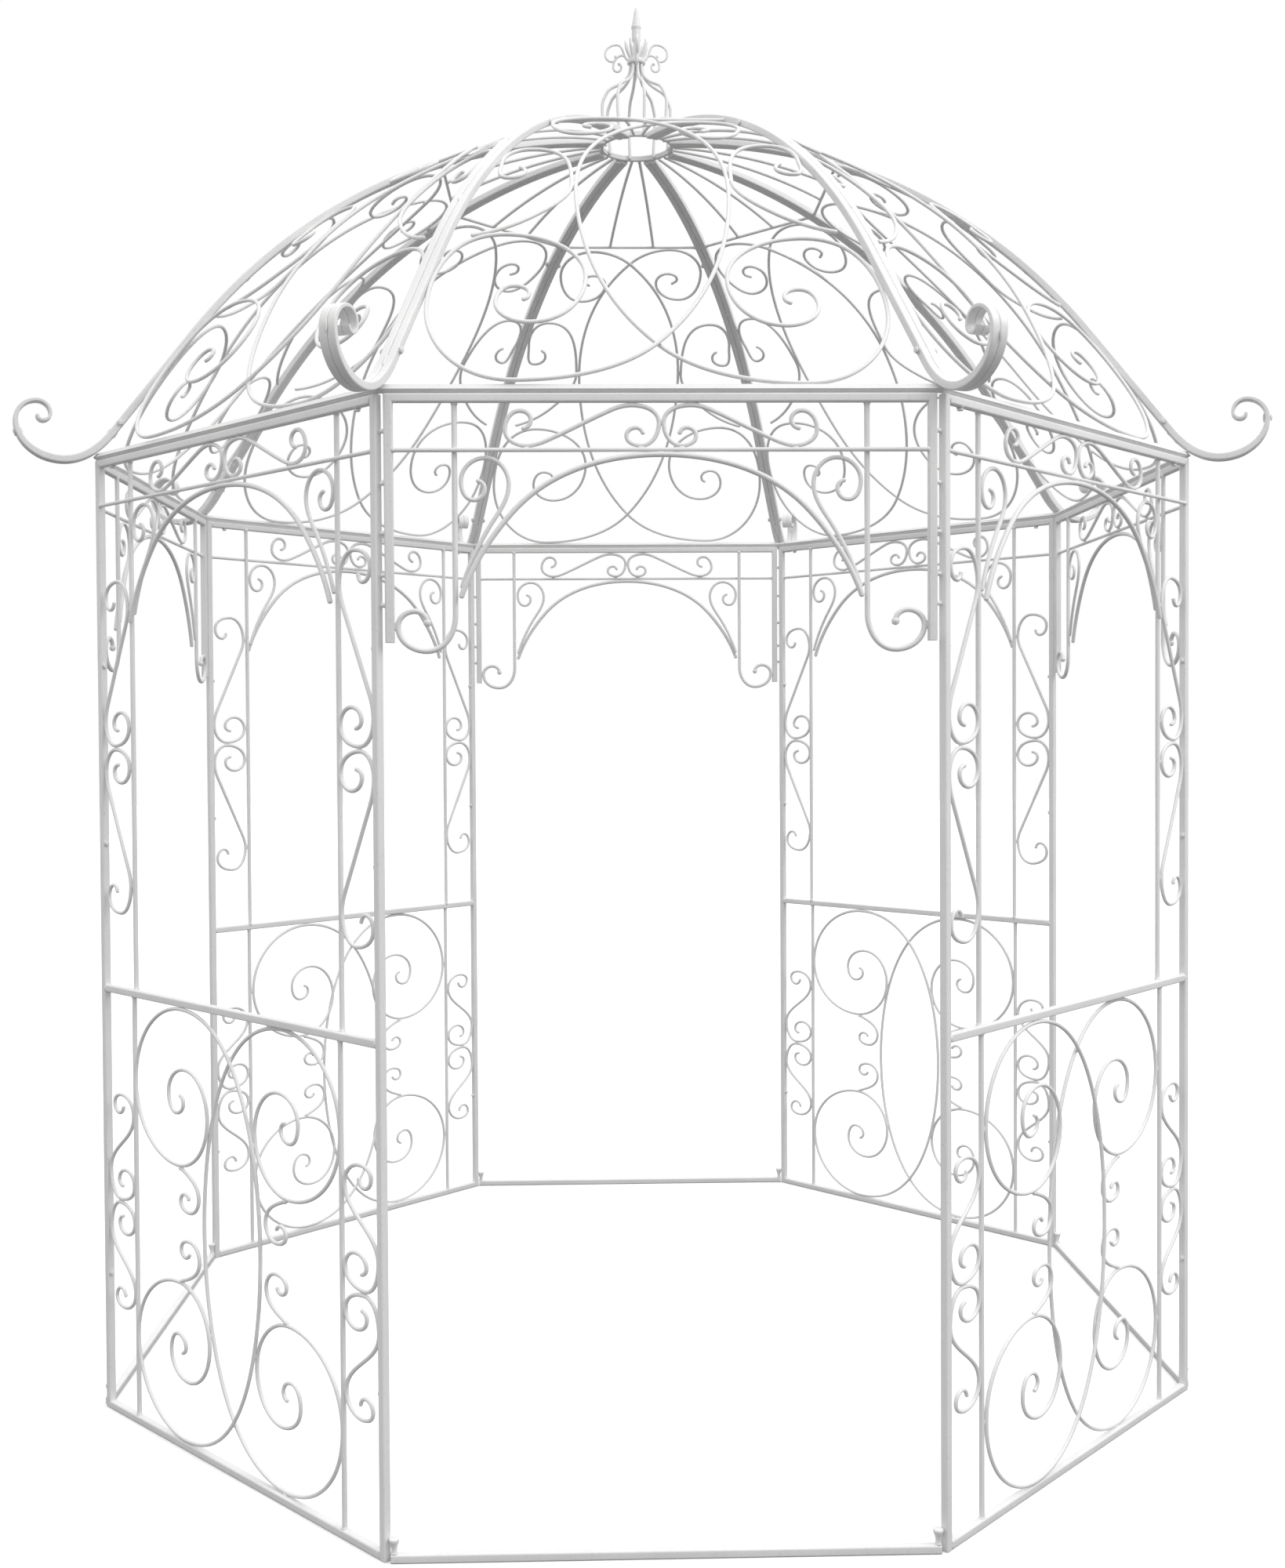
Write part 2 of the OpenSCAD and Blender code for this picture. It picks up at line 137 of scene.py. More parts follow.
collar_z = ring_z + crown_h + lantern_h


def meet(w):
    """How far short of a corner a rail of width w ends, to seat on the post there."""
    return min(w / 2 - (post_end - seat) / cos(45), seat + cos(45) * (post_w / 2 - post_end))


header_x = half - meet(tube_w) - header_gap

# Patterns of the bent bars as knots: across, up (or down the roof), heading in degrees
LOOP = [
    (107, 0, -90), (-174, -462, 180), (-359, -283, 90), (-193, -126, 0),
    (-79, -240, -90), (-162, -334, 180), (-226, -279, 90), (-197, -238, 0),
    (-169, -262, -90), (-184, -277, 180),
]
COMMA = [
    (181, 121, 200), (114, 66, -90), (150, 31, 0),
    (183, 52, 90), (166, 68, 180), (152, 56, -80),
]
LONG_S = [
    (5, 36, 180), (-14, 50, 90), (16, 74, 0), (49.5, 43, -90), (-8, 4.2, 180),
    (-49.5, 52, 90), (-40, 92, 64), (40, 256, 64), (49.5, 290, 90), (5, 350, 180),
    (-43, 317, -90), (-22, 292, 0), (-8, 308, 90),
]
SHORT_S = [
    (3, 34, 180), (-14, 48, 90), (16, 72, 0), (49.5, 42, -90), (-8, 4.2, 180),
    (-49.5, 66, 90), (49.5, 198, 90), (3, 240, 180), (-30, 219, -90),
    (-10, 198, 0), (7, 216, 90),
]
BAND_S = [
    (-249, 31, 0), (-232, 47, 90), (-251, 64, 180), (-278, 30, -90), (-240, 0, 0),
    (-205, 9, 24), (-90, 65, 24), (-53, 74, 0), (-4.2, 42, -90), (-36, 0, 180),
    (-62, 18, 90), (-45, 33, 0), (-32, 20, -80),
]
HOOK = [(-54, 14, -90), (0, -54, 0), (54, -8, 90), (23, 21, 180), (-1, -1, -90)]
ARCH = [(-358, 0, 70), (-265, 143, 46), (0, 238, 0), (265, 143, -46), (358, 0, -70)]
VOLUTE = [
    (-357, 17, 72), (-308, 118, 57), (-272, 190, 90), (-314, 234, 180), (-357, 195, -90),
    (-334, 164, 0), (-315, 183, 90), (-330, 196, 180),
]
ROOF_LOOP = [
    (-117, 584, -140), (-133, 566, -90), (-106, 543, 0), (-73, 580, 90),
    (-140, 645, 180), (-200, 548, -90), (-108, 444, 0), (0, 500, 50),
    (150, 935, 90), (0, 1415, 131), (-262, 1515, 180), (-424, 1322, -90),
    (-285, 1112, 0), (-132, 1237, 90), (-236, 1362, 180), (-298, 1308, -90),
    (-264, 1262, 0), (-236, 1284, 90), (-250, 1300, 180),
]
ROOF_TAIL = [
    (-262, 838, 10), (-249, 858, 90), (-282, 887, 180), (-296, 822, -90),
    (-236, 735, 0), (-159, 915, 90), (-232, 1040, 137), (-345, 1104, 165),
]

# Height of the bay that LONG_S is drawn for, and the stretch of the patterns between and over the uprights
long_span = 1029
bay_k = bay_x / -LOOP[2][0]
arch_k = arch_rise / ARCH[2][1]

# Patterns of the finial: out from the axis, up from the collar's middle
FLARE = [(14, 5, 78), (22, 24, 70), (28, 52, 86)]
CURL_TOP = [(22, 4, 50), (31, 19, 72), (49, 43, 0), (78, 19, -90), (61, 1, 180), (52, 13, 75)]
CURL_LOW = [(28, 14, 30), (42, 15, -25), (58, -13, -90), (48, -24, 180), (38, -13, 90), (43, -5, 10)]

# Outlines of turned pieces: radius, height
SILL_BOLT = [
    (7, -0.5), (6.4, 1), (5.6, 2.6), (5.2, 6), (5.4, 10), (6.2, 14), (7.6, 18.5), (9, 22),
    (9.5, 23.6), (9.5, 26), (9.1, 27.2), (8.2, 27.8), (4, 28), (1, 28),
]


def wrap(a):
    return (a + 180) % 360 - 180


def path(knots, tol=0.06):
    """Points on the smooth curve through the knots; no chord is off by more than tol."""
    points = []
    for (x0, y0, h0), (x1, y1, h1) in zip(knots, knots[1:]):
        a, b = np.array([x0, y0]), np.array([x1, y1])
        length = np.linalg.norm(b - a)
        chord = math.degrees(math.atan2(y1 - y0, x1 - x0))
        turn = math.radians(abs(wrap(chord - h0)) + abs(wrap(h1 - chord)))
        n = max(2, math.ceil(math.sqrt(length * turn / (8 * tol))))
        reach = length / (3 * cos(wrap(h1 - h0) / 4) ** 2)
        c = a + reach * np.array([cos(h0), sin(h0)])
        d = b - reach * np.array([cos(h1), sin(h1)])
        for t in np.arange(n) / n:
            r = 1 - t
            points.append(r ** 3 * a + 3 * t * r ** 2 * c + 3 * t * t * r * d + t ** 3 * b)
    points.append(np.array(knots[-1][:2], float))
    return np.array(points)


def fit(knots, x, z, sx, sz):
    """A pattern moved to x, z and stretched."""
    return [(x + a * sx, z + b * sz, math.degrees(math.atan2(sin(h) * sz, cos(h) * sx)))
            for a, b, h in knots]


def outline(kind, w):
    """Section of a bar of width w: round, square with eased corners or sharp with hardly eased ones."""
    if kind == "round":
        return [(w / 2 * cos(a), w / 2 * sin(a)) for a in range(0, 360, 30)]
    ease = w * (0.06 if kind == "sharp" else 0.2)
    flat = w / 2 - ease
    corners = []
    for q in range(4):
        mx, my = flat * (1, -1, -1, 1)[q], flat * (1, 1, -1, -1)[q]
        corners += [(mx + ease * cos(90 * q + a), my + ease * sin(90 * q + a)) for a in (0, 30, 60, 90)]
    return corners


def dense(corners, step=4):
    """Points at most a step apart along straight runs."""
    points = [np.array(corners[0], float)]
    for a, b in zip(corners, corners[1:]):
        n = 1 + int(np.linalg.norm(np.subtract(b, a)) / step)
        points += [np.array(a) + np.subtract(b, a) * i / n for i in range(1, n + 1)]
    return np.array(points)


dice = random.Random(7)


class Steel:
    """Bars, beads and bolts gathered into one mesh and turned about the axis."""

    def __init__(self, turn):
        self.turn = np.array([[cos(turn), -sin(turn), 0], [sin(turn), cos(turn), 0], [0, 0, 1]])
        self.verts = []
        self.faces = []
        self.lines = []

    def add(self, rings):
        """Joins rings of equal size into a closed skin with flat ends."""
        start, m = len(self.verts), len(rings[0])
        for ring in rings:
            self.verts += [tuple(self.turn @ p * MM) for p in ring]
        for i in range(len(rings) - 1):
            a, b = start + i * m, start + (i + 1) * m
            self.faces += [(a + j, a + (j + 1) % m, b + (j + 1) % m, b + j) for j in range(m)]
        end = start + (len(rings) - 1) * m
        self.faces.append(tuple(start + m - 1 - j for j in range(m)))
        self.faces.append(tuple(end + j for j in range(m)))

    def sweep(self, points, ups, w, kind="round", w_end=None, taper_l=1):
        """A bar along points. Over the last taper_l a round one narrows to w_end, a square one thins."""
        points = np.array(points, float)
        ups = np.broadcast_to(np.array(ups, float), points.shape)
        along = np.gradient(points, axis=0)
        along /= np.linalg.norm(along, axis=1)[:, None]
        side = np.cross(along, ups)
        side /= np.linalg.norm(side, axis=1)[:, None]
        up = np.cross(side, along)
        steps = np.linalg.norm(np.diff(points, axis=0), axis=1)
        left = np.append(np.cumsum(steps[::-1])[::-1], 0)
        thin = 1.0 if w_end is None else w_end / w
        size = thin + (1 - thin) * np.minimum(1, left / taper_l) ** 2
        tall = size if kind == "round" else np.ones(len(points))
        stations = [(points[i], side[i], up[i], size[i], tall[i]) for i in range(len(points))]
        # an end is eased over a short length: its face is smaller, and a ring a little way in is fuller
        ease, face, fuller = (w * 0.3, 0.45, 0.8) if kind == "round" else (w * 0.05, 0.93, 1.0)
        way_in = 0.4

        def eased(n, inward):
            return [(points[n] + inward * ease * f, side[n], up[n], size[n] * g, tall[n] * g)
                    for g, f in ((face, 0), (fuller, way_in))]

        first, last = eased(0, along[0]), eased(-1, -along[-1])[::-1]
        stations[0] = (points[0] + along[0] * ease, *stations[0][1:])
        stations[-1] = (points[-1] - along[-1] * ease, *stations[-1][1:])
        shape = outline(kind, w)
        self.add([[p + s * x * wide + u * y * high for x, y in shape]
                  for p, s, u, wide, high in first + stations + last])

    def bent(self, points, layer=0.0, d=scroll_d):
        """A round bar bent flat in the wall: layer -1 lies outside, 1 inside."""
        y = -wall_r + layer * (d + seat) / 2
        line = [(x, y, z) for x, z in points]
        self.sweep(line, (0, 1, 0), d)
        self.lines.append((line, d))

    def bar(self, a, b, w, kind="square"):
        """A straight bar from a to b."""
        up = (0, 1, 0) if abs(b[1] - a[1]) < 1 else (0, 0, 1)
        self.sweep([a, b], up, w, kind)
        self.lines.append((dense([a, b]), w))

    def mitred(self, corners, w):
        """Square tube in the wall along the corners, cut and welded on the mitre."""
        corners = np.array(corners, float)
        rings = []
        shape = outline("square", w)
        # a fine groove marks a mitre: shift along the tube and size of its rings
        groove = ((-0.8, 1), (-0.3, 0.985), (0.3, 0.985), (0.8, 1))
        for i, p in enumerate(corners):
            a = corners[i] - corners[i - 1] if i else corners[1] - corners[0]
            b = corners[i + 1] - corners[i] if i < len(corners) - 1 else a
            a, b = a / np.linalg.norm(a), b / np.linalg.norm(b)
            half_turn = math.acos(max(-1, min(1, a @ b))) / 2
            ahead = (a + b) / np.linalg.norm(a + b)
            side = np.cross(ahead, (0, 1, 0)) / math.cos(half_turn)
            cut = groove if half_turn > 0.1 else ((0, 1),)
            for shift, size in cut:
                rings.append([p + ahead * shift + (side * x + np.array((0, 1, 0)) * y) * size
                              for x, y in shape])
        self.add(rings)
        self.lines.append((dense(corners), w))

    def ball(self, centre, size, axis=(0, 0, 1)):
        """A rounded lump: size is its width across and its length along the axis."""
        # no bar runs along this direction
        askew = (0.31, 0.91, 0.27)
        axis = np.array(axis, float) / np.linalg.norm(axis)
        side = np.cross(axis, askew)
        side /= np.linalg.norm(side)
        up = np.cross(side, axis)
        wide, long = size[0] / 2, size[1] / 2
        latitudes = (-86, -60, -30, 0, 30, 60, 86)
        self.add([[np.array(centre) + axis * sin(a) * long + (side * cos(b) + up * sin(b)) * cos(a) * wide
                   for b in range(0, 360, 36)] for a in latitudes])

    def turned(self, centre, profile, sides=16, axis=(0, 0, 1)):
        """A turned or six-sided piece on the axis through the centre, from pairs of radius and height."""
        axis = np.array(axis, float) / np.linalg.norm(axis)
        side = np.cross((0, 1, 0) if abs(axis[1]) < 0.9 else (1, 0, 0), axis)
        side /= np.linalg.norm(side)
        up = np.cross(axis, side)
        turns = np.arange(sides) * 360 / sides
        self.add([[np.array(centre) + (side * cos(a) + up * sin(a)) * r + axis * z for a in turns]
                  for r, z in profile])

    def bolt(self, centre, axis, across=13):
        """A washer and a hexagon head on the surface at the centre."""
        r = across / 2
        washer = [(r * 1.15, -0.5), (r * 1.2, 0.4), (r * 1.15, 1.4)]
        head = [(r, 1), (r, across * 0.42), (r * 0.86, across * 0.52)]
        self.turned(centre, washer, 20, axis)
        self.turned(centre, head, 6, axis)

    def spoke(self, points, turn, w, w_end=None, taper_l=30):
        """A round bar bent in a plane that holds the axis: points are out, up."""
        line = [(r * cos(turn), r * sin(turn), z) for r, z in points]
        self.sweep(line, (-sin(turn), cos(turn), 0), w, "round", w_end, taper_l)
        self.lines.append((line, w))

    def welds(self, others=()):
        """Weld where bars touch each other or the others: collars at butted ends, lumps along sides."""
        lines = [(np.array(line), d) for line, d in self.lines]
        met = lines + [(np.array(line), d) for line, d in others]
        trees = []
        for line, d in met:
            tree = kdtree.KDTree(len(line))
            for n, p in enumerate(line):
                tree.insert(p, n)
            tree.balance()
            trees.append(tree)
        butts = []
        for i, (line, d) in enumerate(lines):
            for end, inner in ((0, 1), (-1, -2)):
                for j, (_, e) in enumerate(met):
                    if i != j and trees[j].find(line[end])[2] - e / 2 < butt_gap:
                        # a collar never dips into the ground
                        wide = min(d * collar_share, 2 * line[end][2])
                        long = collar_l * dice.uniform(0.8, 1.2)
                        self.ball(line[end], (wide, long), line[end] - line[inner])
                        butts.append(line[end])
                        break
        # a lump goes where the gap is the least among so many neighbouring points
        beside = 12
        for i, (line, d) in enumerate(lines):
            for j in range(i + 1, len(met)):
                e = met[j][1]
                gaps = [trees[j].find(p)[2] - (d + e) / 2 for p in line]
                for n, gap in enumerate(gaps):
                    if gap < side_gap and gap <= min(gaps[max(0, n - beside):n + beside + 1]):
                        near = Vector(trees[j].find(line[n])[0])
                        spot = Vector(line[n]).lerp(near, d / (d + e))
                        if all((spot - Vector(b)).length > lump_clear for b in butts):
                            ahead = line[min(n + 1, len(line) - 1)] - line[max(n - 1, 0)]
                            grow = dice.uniform(0.85, 1.2)
                            self.ball(spot, (lump_w * grow, lump_l * grow), ahead)

    def make(self, name, *nodes):
        """The mesh as one object of painted steel that stands for the nodes."""
        mesh = bpy.data.meshes.new(name)
        mesh.from_pydata(self.verts, [], self.faces)
        mesh.shade_smooth()
        mesh.materials.append(paint)
        piece = bpy.data.objects.new(name, mesh)
        bpy.context.collection.objects.link(piece)
        weighted = piece.modifiers.new("soft edges", "WEIGHTED_NORMAL")
        weighted.weight = 60
        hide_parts(*nodes)
        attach(piece, "root")


def white_paint():
    """White paint on steel: faint clouds, fine specks, an uneven gloss and a slight orange peel."""
    mat = bpy.data.materials.new("white_paint")
    mat.use_nodes = True
    nodes, links = mat.node_tree.nodes, mat.node_tree.links
    shader = nodes["Principled BSDF"]
    shader.inputs["IOR"].default_value = 1.48
    shader.inputs["Coat Weight"].default_value = 0.15
    shader.inputs["Coat Roughness"].default_value = 0.25
    place = nodes.new("ShaderNodeTexCoord")

    def noise(scale, detail):
        n = nodes.new("ShaderNodeTexNoise")
        n.inputs["Scale"].default_value = scale
        n.inputs["Detail"].default_value = detail
        links.new(place.outputs["Object"], n.inputs["Vector"])
        return n.outputs["Fac"]

    def ramp(fac, low, high, at=(0.3, 0.7)):
        r = nodes.new("ShaderNodeValToRGB")
        r.color_ramp.elements[0].position = at[0]
        r.color_ramp.elements[1].position = at[1]
        r.color_ramp.elements[0].color = (*low, 1)
        r.color_ramp.elements[1].color = (*high, 1)
        links.new(fac, r.inputs["Fac"])
        return r.outputs["Color"]

    cloud = ramp(noise(6, 5), (0.80, 0.80, 0.80), (0.86, 0.86, 0.855))
    speck = ramp(noise(160, 3), (0.93, 0.93, 0.92), (1, 1, 1), (0.28, 0.42))
    tint = nodes.new("ShaderNodeMix")
    tint.data_type = "RGBA"
    tint.blend_type = "MULTIPLY"
    tint.inputs["Factor"].default_value = 1
    links.new(cloud, tint.inputs["A"])
    links.new(speck, tint.inputs["B"])
    links.new(tint.outputs["Result"], shader.inputs["Base Color"])
    links.new(ramp(noise(35, 4), (0.32,) * 3, (0.5,) * 3), shader.inputs["Roughness"])
    bump = nodes.new("ShaderNodeBump")
    bump.inputs["Strength"].default_value = 0.2
    bump.inputs["Distance"].default_value = 0.0006
    links.new(noise(220, 2), bump.inputs["Height"])
    links.new(bump.outputs["Normal"], shader.inputs["Normal"])
    return mat


paint = white_paint()


def scrolls(steel, knots, x, z, sx, sz, layer=0.0):
    """A pattern, placed and stretched, as a round bar in the wall."""
    steel.bent(path(fit(knots, x, z, sx, sz)), layer)


# Side panel: posts, rails, uprights and the bolts that hold the panel
def side_panel(turn, name):
    s = Steel(turn)
    # the bolts: how far in from the posts under the top rail, and how high on the posts
    bolt_in, bolts_z = 44, (300, 1250, 1640)
    in_x = panel_x - post_w - seat
    y = -wall_r
    for e in (-1, 1):
        x = e * (panel_x - post_w / 2)
        s.bar((x, y, 0), (x, y, wall_h), post_w)
    for z, w in ((post_w / 2, post_w), (wall_h - post_w / 2, post_w), (handrail_z, tube_w)):
        s.bar((-in_x, y, z), (in_x, y, z), w)
    s.bar((-in_x, y - lap, band_z), (in_x, y - lap, band_z), scroll_d, "round")
    for e in (-1, 1):
        s.bar((e * upright_x, y, post_w + seat), (e * upright_x, y, handrail_z - tube_w / 2 - seat),
              upright_d, "round")
        s.bar((e * upright_x, y + lap, handrail_z + tube_w / 2 + seat),
              (e * upright_x, y + lap, wall_h - post_w - seat), upright_d, "round")
        s.bolt((e * (in_x - bolt_in), y, wall_h - post_w), (0, 0, -1), across=12)
        for z in bolts_z:
            s.bolt((e * (panel_x - post_w), y, z), (-e, 0, 0), across=10)
    s.welds()
    s.make("steel_" + name, name)
    return s.lines


# Lower half of a panel: two long looped bars, small curls on the loops and short S-scrolls
def balustrade(turn, name, frame_lines):
    s = Steel(turn)
    kz = (high_z - low_z) / 2 / -LOOP[1][1]
    low = path(fit(LOOP, 0, bay_z, bay_k, kz))
    top = path(fit(LOOP, 0, bay_z, bay_k, -kz))
    bar = np.concatenate([top[::-1], low[1:]])
    s.bent(bar, -1)
    s.bent(bar * (-1, 1), 1)
    for e in (-1, 1):
        for f in (-1, 1):
            scrolls(s, COMMA, 0, bay_z, e * bay_k, f * kz, e)
            scrolls(s, SHORT_S, e * strip_x, bay_z, -e * strip_half / SHORT_S[3][0], f * kz)
    s.welds(frame_lines)
    s.make("steel_" + name, name)


# What panels and doorways share: the pair of S-scrolls in the top band and the volutes beside the arch
def band_work(s):
    rail = wall_h - post_w - scroll_d / 2 - seat
    foot = band_z + scroll_d + seat
    for e in (-1, 1):
        scrolls(s, BAND_S, 0, foot, e * bay_k, (rail - foot) / BAND_S[7][1])
        scrolls(s, VOLUTE, 0, arch_z, e * bay_k, arch_k, 1)


# Upper half of a panel: the band's work and four long S-scrolls beside the uprights
def panel_scrolls(turn, name, frame_lines):
    s = Steel(turn)
    band_work(s)
    for e in (-1, 1):
        for f in (-1, 1):
            scrolls(s, LONG_S, e * strip_x, long_z, -e * strip_half / LONG_S[3][0],
                    f * (band_z - handrail_z) / long_span)
    s.welds(frame_lines)
    s.make("steel_" + name, name)
    return s.lines


# Header: mitred top rail and hung tubes, uprights with hooks that end in a ball
def door_header(turn, name):
    s = Steel(turn)
    in_x = header_x - tube_w - seat
    y = -wall_r
    hook_up = 36
    hook_r = (in_x - upright_d / 2 - seat - upright_x) / 2
    hook_z = wall_h - drop_l + hook_up
    hook_x = upright_x + hook_r
    hook_k = hook_r / HOOK[2][0]
    hook_weld = (7, 16)
    end_ball = upright_d * 1.5
    # spacers between a hung tube and the neighbouring post, placed by shares of the drop
    spacer_d, spacers = 8, (0.15, 0.36, 0.56, 0.73, 0.85)
    mid, top = header_x - tube_w / 2, wall_h - tube_w / 2
    low = wall_h - drop_l
    s.mitred([(-mid, y, low), (-mid, y, top), (mid, y, top), (mid, y, low)], tube_w)
    s.bar((-in_x, y - lap, band_z), (in_x, y - lap, band_z), scroll_d, "round")
    for e in (-1, 1):
        stem = (e * upright_x, y + lap, wall_h - tube_w - seat)
        curl = path(fit(HOOK, e * hook_x, hook_z, e * hook_k, hook_k))
        s.sweep([stem] + [(x, y + lap, z) for x, z in curl], (0, 1, 0), upright_d)
        s.lines.append((dense([(curl[0][0], y + lap, curl[0][1]), stem]), upright_d))
        s.ball((curl[-1][0], y + lap, curl[-1][1]), (end_ball, end_ball))
        # weld between the hook's widest place and the hung tube
        s.ball((e * (in_x - 1), y + lap, hook_z + HOOK[2][1] * hook_k), hook_weld)
        for t in spacers:
            z = wall_h - drop_l * t
            s.sweep([(e * (header_x - 1), y, z), (e * (half - meet(spacer_d)), y, z)],
                    (0, 0, 1), spacer_d)
            # bead round the spacer's end
            s.ball((e * (header_x + 0.6), y, z), (spacer_d * 1.35, 4), (1, 0, 0))
    s.welds()
    s.make("steel_" + name, name)
    return s.lines


# Scrolls of a doorway
def header_scrolls(turn, name, frame_lines):
    s = Steel(turn)
    band_work(s)
    s.welds(frame_lines)
    s.make("steel_" + name, name)
    return s.lines


# Sill: bottom rail of a doorway, with the flared bolts that stand at its ends
def sill(turn, name):
    s = Steel(turn)
    end_x = half - meet(post_w)
    bolt_r = max(r for r, z in SILL_BOLT)
    bolt_x = half - (bolt_r + seat - post_end) / cos(45)
    s.bar((-end_x, -wall_r, post_w / 2), (end_x, -wall_r, post_w / 2), post_w)
    for e in (-1, 1):
        s.turned((e * bolt_x, -wall_r, post_w), SILL_BOLT, 24)
    s.make("steel_" + name, name)


# The eight arches are one mesh, drawn side by side
def arches(upright_lines):
    s = Steel(0)
    knots = fit(ARCH, 0, arch_z, bay_k, arch_k)
    for k in range(8):
        side = Steel(45 * k)
        side.bent(path(knots), -1, upright_d)
        side.welds(upright_lines[k])
        start = len(s.verts)
        s.verts += side.verts
        s.faces += [tuple(start + v for v in face) for face in side.faces]
    s.make("steel_arches", "arches")


def rib_line():
    """Centre line of a rib: the dome's arc, the straight run over the eaves and the curl."""
    # the bend starts inside the corner and is lowest outside it, and the curl is widest above the wall
    bend_in, low_out, curl_up = 32, 74, 80
    out, rise = corner_r + curl_out, wall_h + curl_up
    # radii of the quarter turns: over the top, down inside and round the eye
    over, inside, eye = curl_out * 0.265, curl_out * 0.16, curl_out * 0.095
    eye_r, eye_z = out - over - inside, rise + over - inside
    knots = [
        (corner_r - bend_in, rib_z + bend_in * tan(eaves_slope), -eaves_slope),
        (corner_r + low_out, wall_h, 0),
        (out, rise, 90),
        (out - over, rise + over, 180),
        (eye_r, eye_z, -90),
        (eye_r + eye, eye_z - eye, 0),
        (eye_r + 1.7 * eye, eye_z - 0.3 * eye, 90),
    ]
    a0 = math.degrees(math.asin((crown_r + seat + rib_w / 2 * sin(crown_slope) - mid_r) / rib_r))
    arc = [(mid_r + rib_r * sin(a), mid_z + rib_r * cos(a))
           for a in np.linspace(a0, eaves_slope, 48)]
    return np.concatenate([arc, path(knots)])


# Rib: two square bars side by side that thin towards the curl's end
def rib(turn, name):
    s = Steel(turn)
    tip_w, taper_l = rib_w * 0.4, 250
    line = rib_line()
    for y in (-1, 1):
        bar = [(r, y * (rib_w + seat) / 2, z) for r, z in line]
        s.sweep(bar, (0, 1, 0), rib_w, "square", tip_w, taper_l)
    # stitch welds in the groove between the two bars, by their way along the rib from the crown
    stitches = (120, 420, 700, 980, 1240, 1500, 1720)
    stitch_w, stitch_l, wander = 5, (14, 22), 30
    lengths = np.append(0, np.cumsum(np.linalg.norm(np.diff(line, axis=0), axis=1)))
    for run in stitches:
        n = int(np.searchsorted(lengths, run + dice.uniform(-wander, wander)))
        ahead = line[n + 1] - line[n - 1]
        ahead /= np.linalg.norm(ahead)
        for out in (-1, 1):
            r, z = line[n] + np.array((-ahead[1], ahead[0])) * out * (rib_w / 2 - 0.6)
            s.ball((r, 0, z), (stitch_w, dice.uniform(*stitch_l)), (ahead[0], 0, ahead[1]))
    # weld on the crown ring
    s.ball((line[0][0] - 1, 0, line[0][1]), (rib_w * 0.9, 6), (1, 0, 0))
    # bolts through both bars, by their way up from the corner
    bolts_up = (80, 1025)
    for run in bolts_up:
        at = arc_l + eaves_run - run
        r, z = rib_r_at(at), z_at(at)
        for out in (-1, 1):
            s.bolt((r, out * (rib_w + seat / 2), z), (0, out, 0), across=12)
    s.make("steel_" + name, name)


def ribs_beside():
    """Centre lines of the four rib bars beside a roof side, without their curls."""
    curl_points = 60
    lines = []
    for turn in (-67.5, -112.5):
        for y in (-1, 1):
            side = y * (rib_w + seat) / 2
            lines.append(([(r * cos(turn) - side * sin(turn), r * sin(turn) + side * cos(turn), z)
                           for r, z in rib_line()[:-curl_points]], rib_w))
    return lines


# Line of the roof at the ribs by d, the way down from the crown ring: slope, distance from the axis, height
def slope_at(d):
    return crown_slope + math.degrees(min(d, arc_l) / rib_r)


def rib_r_at(d):
    return mid_r + rib_r * sin(slope_at(d)) if d < arc_l else run_r + (d - arc_l) * cos(eaves_slope)


def z_at(d):
    return mid_z + rib_r * cos(slope_at(d)) if d < arc_l else run_z - (d - arc_l) * sin(eaves_slope)


def on_roof(x, d):
    """The point x to the right on a roof side that faces the front."""
    return np.array([x, -rib_r_at(d) * cos(22.5), z_at(d)])


def roof_up(d):
    """The direction square to the roof."""
    n = np.array([0, -sin(slope_at(d)), cos(slope_at(d)) * cos(22.5)])
    return n / np.linalg.norm(n)


def clear_at(d):
    """Half the width between the ribs, for the centre line of a bar."""
    return (rib_r_at(d) * sin(22.5) - (rib_w + scroll_d / 2 + 2 * seat) / cos(22.5)
            - scroll_d * sin(slope_at(d)) * tan(22.5))


def roof_bar(s, points, layer):
    """A round bar bent over the roof: layer -1 lies below, 1 above."""
    ups = np.array([roof_up(d) for x, d in points])
    line = np.array([on_roof(x, d) for x, d in points]) + ups * layer * (scroll_d + seat) / 2
    s.sweep(line, ups, scroll_d)
    s.lines.append((line, scroll_d))


